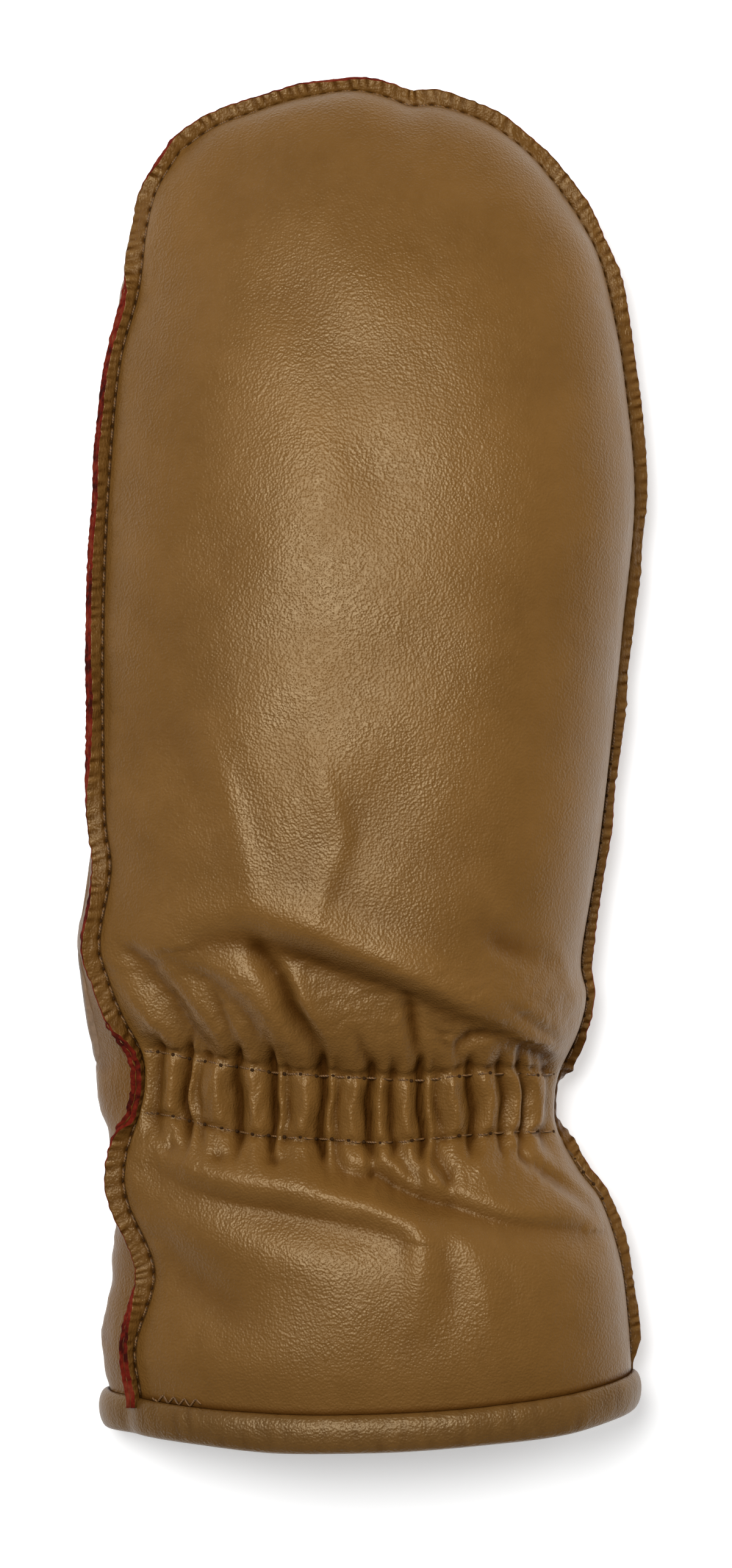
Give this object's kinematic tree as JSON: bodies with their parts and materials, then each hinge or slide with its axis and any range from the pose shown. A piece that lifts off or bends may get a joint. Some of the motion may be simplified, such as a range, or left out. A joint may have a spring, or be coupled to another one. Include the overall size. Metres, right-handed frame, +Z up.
{
  "type": "leather mitten with gathered elastic wrist",
  "caption": "Right-hand leather mitten lying palm down, with turned-out side seams, a gathered elastic wrist, a flared cuff and a folded hem binding.",
  "frame": {"origin": "on the surface that the mitten lies on, under the middle of its bounding box", "axes": "+Y to the fingertips, +X to the little finger side, +Z up through the back of the hand"},
  "size_m": [0.1146, 0.2734, 0.0485],
  "materials": {
    "hand_leather": "smooth tan leather, semi-matt, with red painted raw edges",
    "binding_leather": "matt brown leather strip",
    "thread": "tan waxed sewing thread"
  },
  "bodies": {
    "root": {"back_panel": "hand_leather", "palm_panel": "hand_leather", "thumb": "hand_leather", "hem_binding": "binding_leather"}
  },
  "joints": []
}
